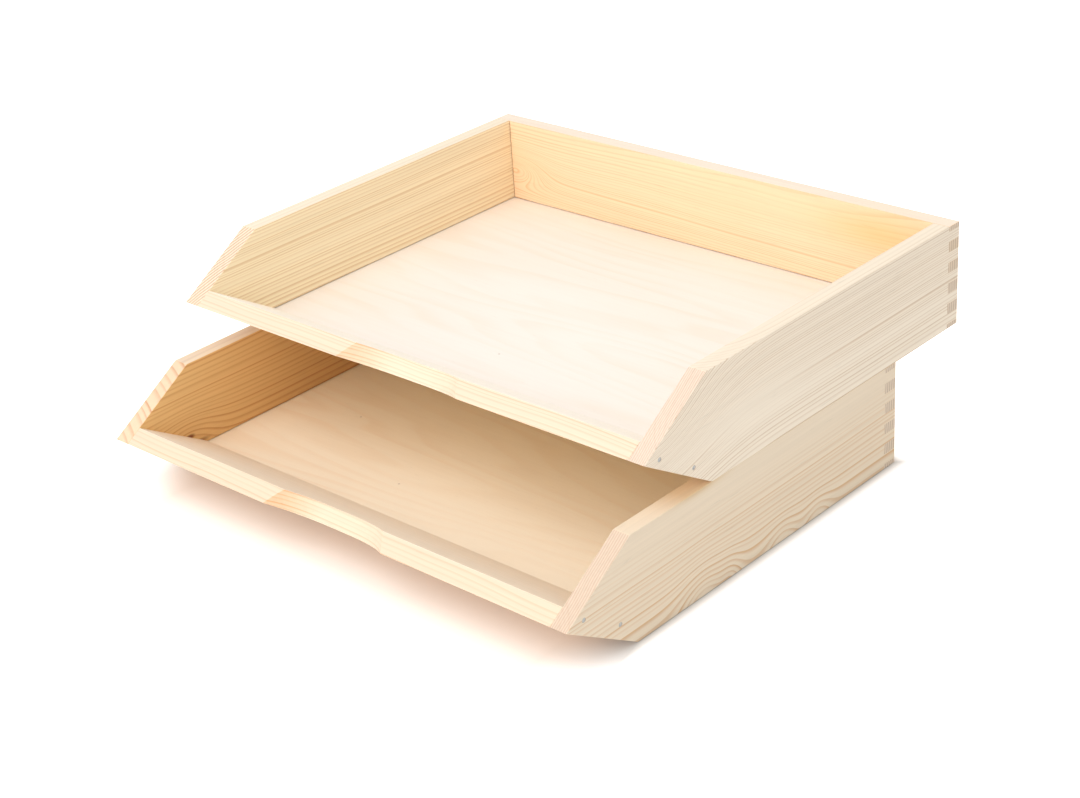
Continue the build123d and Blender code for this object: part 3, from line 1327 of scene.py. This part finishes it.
    def scoop_cutter(self) -> bpy.types.Object:
        """The scoop's cutter: a block with two rounded lower corners, square to the rail.

        Returns:
            The cutter, drawn flat and then stood up against the rail.
        """
        plan = self.plan
        half = plan.scoop_floor + plan.scoop_radius
        through = 2 * plan.rail_thickness
        low = Vector((-half, -plan.scoop_radius, -through))
        cutter = blank("cutter", low, Vector((half, plan.scoop_depth, through)))
        with editing(cutter):
            bpy.ops.mesh.select_all(action="DESELECT")
            for edge in bmesh.from_edit_mesh(cutter.data).edges:
                first, second = (vertex.co for vertex in edge.verts)
                if abs(first.z - second.z) > through and first.y > 0:
                    edge.select_set(True)
            bmesh.update_edit_mesh(cutter.data)
            segments = self.cuts.scoop_segments
            bpy.ops.mesh.bevel(offset=plan.scoop_radius, segments=segments, clamp_overlap=False)
        turn = Matrix((Vector((1, 0, 0)), plan.down, plan.inward)).transposed()
        cutter.matrix_world = Matrix.Translation(plan.tip) @ turn.to_4x4()
        settle(cutter)
        return cutter

    def nick_places(self, chance: random.Random) -> Iterator[Triple]:
        """Places for the nicks, one after another along the tip, none touching the next.

        Args:
            chance: where the numbers come from.

        Yields:
            Each nick's x, its radius and how far it is stretched along the tip.
        """
        end = self.plan.inner_x
        x = self.nicks.start - end
        while x < end:
            gap = self.nicks.near_gap if end - abs(x) < self.nicks.near_end else self.nicks.far_gap
            radius = chance.uniform(*self.nicks.radius)
            stretch = chance.uniform(*self.nicks.stretch)
            x += radius * stretch
            yield x, radius, stretch
            x += radius * stretch + chance.uniform(*gap)

    def nick_cutters(self) -> list[bpy.types.Object]:
        """Small rough balls along the rail's tip, crowded by the noses, that leave it splintered.

        Returns:
            The balls.
        """
        tip = self.plan.tip
        chance = random.Random(self.prefix)
        cutters = []
        for x, radius, stretch in self.nick_places(chance):
            middle = (x, tip.y, tip.z - radius * self.nicks.drop)
            bpy.ops.object.select_all(action="DESELECT")
            bpy.ops.mesh.primitive_ico_sphere_add(subdivisions=1, radius=radius, location=middle)
            ball = bpy.context.active_object
            ball.scale = (stretch, *self.nicks.squash)
            ball.rotation_euler = (chance.uniform(*self.nicks.turn), 0, 0)
            settle(ball)
            cutters.append(ball)
        return cutters

    def panel(self) -> bpy.types.Object:
        """The plywood panel, a little uneven as thin plywood lies.

        Returns:
            The finished panel.
        """
        node = f"{self.prefix}_bottom_panel"
        panel = blank(f"{node}_piece", *self.panel_box)
        with editing(panel):
            bpy.ops.mesh.select_all(action="SELECT")
            bpy.ops.mesh.subdivide(number_cuts=self.lie.cuts)
        cloud = bpy.data.textures.new(f"{node}_lie", "CLOUDS")
        cloud.noise_scale = self.lie.wave
        lie = panel.modifiers.new("lie", "DISPLACE")
        lie.texture = cloud
        lie.texture_coords = "GLOBAL"
        lie.direction = "Z"
        lie.mid_level = 0.0
        lie.strength = self.lie.rise
        apply_modifier(panel, lie.name)
        return panel

    def brad_piece(self, node: str, sunk: float, fit: float) -> bpy.types.Object:
        """One brad, or with a fit the hole that it is driven in.

        Args:
            node: the brad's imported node.
            sunk: how far the head lies under the side's face.
            fit: how much wider the hole is.

        Returns:
            The brad, head outwards, with a rim, a dimple, a shank and a point.
        """
        sizes = self.brad
        low, high = self.plan.boxes[node]
        centre = (low + high) / 2
        hand = 1 if centre.x > 0 else -1
        radius = (high.z - low.z) / 2 + fit
        face_x = hand * (self.plan.outer_x - sunk)
        bpy.ops.object.select_all(action="DESELECT")
        bpy.ops.mesh.primitive_cylinder_add(vertices=sizes.sides, radius=radius, depth=sizes.head_thickness)
        piece = bpy.context.active_object
        piece.name = f"{node}_piece"
        length = high.x - low.x - sizes.head_thickness - sizes.point_length
        with editing(piece):
            self.pick_cap(piece, -1)
            bpy.ops.mesh.inset(thickness=radius - sizes.shank_radius - fit)
            for reach in (length, sizes.point_length):
                bpy.ops.mesh.extrude_region_move(TRANSFORM_OT_translate={"value": (0, 0, -reach)})
            bpy.ops.transform.resize(value=(sizes.point_share, sizes.point_share, 1.0))
            if fit == 0.0:
                self.hammer(piece)
        piece.rotation_euler = (0, hand * math.radians(90), 0)
        piece.location = (face_x - hand * sizes.head_thickness / 2, centre.y, centre.z)
        settle(piece)
        return piece

    def hammer(self, piece: bpy.types.Object) -> None:
        """Rounds the edge of a brad's head and sets a dimple in it.

        Args:
            piece: the brad, head upwards, open in edit mode.
        """
        self.pick_cap(piece, 1)
        bpy.ops.mesh.bevel(offset=self.brad.rim, segments=2)
        self.pick_cap(piece, 1)
        bpy.ops.mesh.inset(thickness=self.brad.dimple_margin)
        bpy.ops.transform.translate(value=(0, 0, -self.brad.dimple_depth))

    @staticmethod
    def pick_cap(piece: bpy.types.Object, side: int) -> None:
        """Selects the flat end of a piece that faces up or down.

        Args:
            piece: the piece, open in edit mode.
            side: 1 for the highest face, -1 for the lowest.
        """
        bpy.ops.mesh.select_all(action="DESELECT")
        shape = bmesh.from_edit_mesh(piece.data)
        ends = [face for face in shape.faces if face.normal.z * side > 0.9]
        cap = max(ends, key=lambda face: face.calc_center_median().z * side)
        cap.select_set(True)
        shape.faces.active = cap
        bmesh.update_edit_mesh(piece.data)


@dataclass(frozen=True)
class Dowels:
    """The locating dowels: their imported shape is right, and gets its finish."""

    finish: Beech = Beech()

    def dress(self) -> None:
        """Gives every dowel its beech."""
        beech = self.finish.material()
        for name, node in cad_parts.items():
            if name.endswith("_dowel"):
                dress(node, beech)
                LOG.info("%s: finished in beech", name)


# The studio: floor, lights and camera


@dataclass(frozen=True)
class Softbox:
    """A square lamp with a soft front."""

    name: str
    place: Triple
    size: float
    power: float

    def hang(self, aim: Vector) -> None:
        """Hangs the lamp so that it looks at a point.

        Args:
            aim: the point.
        """
        data = bpy.data.lights.new(self.name, "AREA")
        data.shape = "SQUARE"
        data.size = self.size
        data.energy = self.power
        lamp = bpy.data.objects.new(self.name, data)
        lamp.location = self.place
        lamp.rotation_euler = (aim - Vector(self.place)).to_track_quat("-Z", "Y").to_euler()
        bpy.context.scene.collection.objects.link(lamp)


@dataclass(frozen=True)
class Studio:
    """A white table under plain soft light, seen as the photograph sees it.

    Attributes:
        painted_shadow_tone: the browner painted shadow on the table under the stack, and
            painted_side_shadow_tone the darker painted shadow beside it.
        floor_gap: how far the table lies under the stack.
        floor_lift: the glow that makes the open table white to the camera.
        shadow_inside: how far under the stack's edge the shadow starts to end.
        shadow_side: how far it reaches out at the sides and the back.
        shadow_front: where it fades in front of the foot, and shadow_ends how far its ends are rounded.
        sky: the strength of the even light.
    """

    camera_place: Vector = field(default_factory=lambda: Vector((0.758956, -0.796998, 0.588782)))
    camera_aim: Vector = field(default_factory=lambda: Vector((0.008347, -0.006468, 0.041015)))
    camera_roll: float = math.radians(-3.98)
    lens: float = 70.96
    sensor: float = 36.0
    floor_size: float = 12.0
    floor_tone: Colour = (0.90, 0.89, 0.88)
    painted_shadow_tone: Colour = (0.83, 0.77, 0.71)
    painted_side_shadow_tone: Colour = (0.56, 0.53, 0.49)
    floor_gap: float = 0.4 * MM
    floor_lift: float = 0.75
    shadow_inside: float = 3 * MM
    shadow_side: float = 12 * MM
    shadow_front: Range = (14 * MM, 98 * MM)
    shadow_ends: float = 30 * MM
    sky: float = 0.79
    softboxes: tuple[Softbox, ...] = (
        Softbox("front_softbox", (0.1, -1.25, 1.55), 1.4, 12.2),
        Softbox("mouth_softbox", (0.25, -1.60, 0.38), 1.0, 11.0),
        Softbox("rear_softbox", (0.0, 1.35, 1.20), 1.2, 2.6),
    )

    def build(self, standing: TrayPlan) -> None:
        """Sets up the floor, the world, the lamps and the camera.

        Args:
            standing: the plan of the tray that stands on the floor.
        """
        self.floor(standing)
        self.world()
        for softbox in self.softboxes:
            softbox.hang(self.camera_aim)
        self.camera()
        bpy.context.scene.view_settings.view_transform = "Standard"

    def floor(self, standing: TrayPlan) -> None:
        """A white floor that keeps the shadow under the stack, deepened with painted shadow, and is pure
        white to the camera away from it.

        Args:
            standing: the plan of the tray that stands on the floor.
        """
        bpy.ops.object.select_all(action="DESELECT")
        bpy.ops.mesh.primitive_plane_add(size=self.floor_size, location=(0, 0, -self.floor_gap))
        floor = bpy.context.active_object
        floor.name = "floor"
        graph = Graph(bpy.data.materials.new("white_table"))
        x, y, _ = graph.parts(graph.node("TexCoord").outputs["Object"])
        side, back = standing.outer_x, standing.back
        off_middle = graph.math("ABSOLUTE", x)
        beside = graph.step(off_middle, side - self.shadow_inside, side + self.shadow_side)
        rounding = graph.math("MAXIMUM", graph.minus(off_middle, side - self.shadow_ends), 0.0)
        forward = graph.plus(graph.minus(standing.slope_foot.y, y), rounding)
        before = graph.step(forward, *self.shadow_front)
        behind = graph.step(y, back - self.shadow_inside, back + self.shadow_side)
        away = graph.math("MAXIMUM", beside, graph.math("MAXIMUM", before, behind))
        # Painted shadow: the table turns darker and browner under and in front of the stack, and darker still
        # along its right side.
        shade = graph.mix(graph.step(x, side - 3 * self.shadow_side, side), self.painted_shadow_tone, self.painted_side_shadow_tone)
        diffuse = graph.node("BsdfDiffuse", {"Color": graph.mix(away, shade, self.floor_tone)})
        seen = graph.node("LightPath").outputs["Is Camera Ray"]
        lift = graph.times(graph.times(away, self.floor_lift), seen)
        glow = graph.node("Emission", {"Color": WHITE, "Strength": lift})
        both = graph.node("AddShader", {0: diffuse.outputs[0], 1: glow.outputs[0]})
        graph.node("OutputMaterial", {"Surface": both.outputs[0]})
        dress(floor, graph.owner)

    def world(self) -> None:
        """Even light from all round, white where the camera looks past the floor."""
        world = bpy.data.worlds.new("soft_room")
        bpy.context.scene.world = world
        graph = Graph(world)
        path = graph.node("LightPath").outputs
        sight = graph.math("MAXIMUM", path["Is Camera Ray"], path["Is Glossy Ray"])
        level = graph.node("MapRange", {"Value": sight, "To Min": self.sky, "To Max": 1.0}).outputs[0]
        room = graph.node("Background", {"Color": WHITE, "Strength": level})
        graph.node("OutputWorld", {"Surface": room.outputs[0]})

    def camera(self) -> None:
        """The camera at the photograph's place."""
        data = bpy.data.cameras.new("camera")
        data.lens = self.lens
        data.sensor_width = self.sensor
        data.sensor_fit = "HORIZONTAL"
        camera = bpy.data.objects.new("camera", data)
        turn = (self.camera_aim - self.camera_place).to_track_quat("-Z", "Y").to_matrix().to_4x4()
        roll = Matrix.Rotation(self.camera_roll, 4, "Z")
        camera.matrix_world = Matrix.Translation(self.camera_place) @ turn @ roll
        bpy.context.scene.collection.objects.link(camera)
        bpy.context.scene.camera = camera


def main() -> None:
    """Builds the stack in order."""
    logging.basicConfig(level=logging.INFO, format="%(name)s %(message)s")
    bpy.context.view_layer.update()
    lower, upper = (Tray(prefix, f"{prefix}_tray") for prefix in ("lower", "upper"))
    Studio().build(lower.plan)
    lower.build()
    upper.build()
    Dowels().dress()


if __name__ == "__main__":
    main()
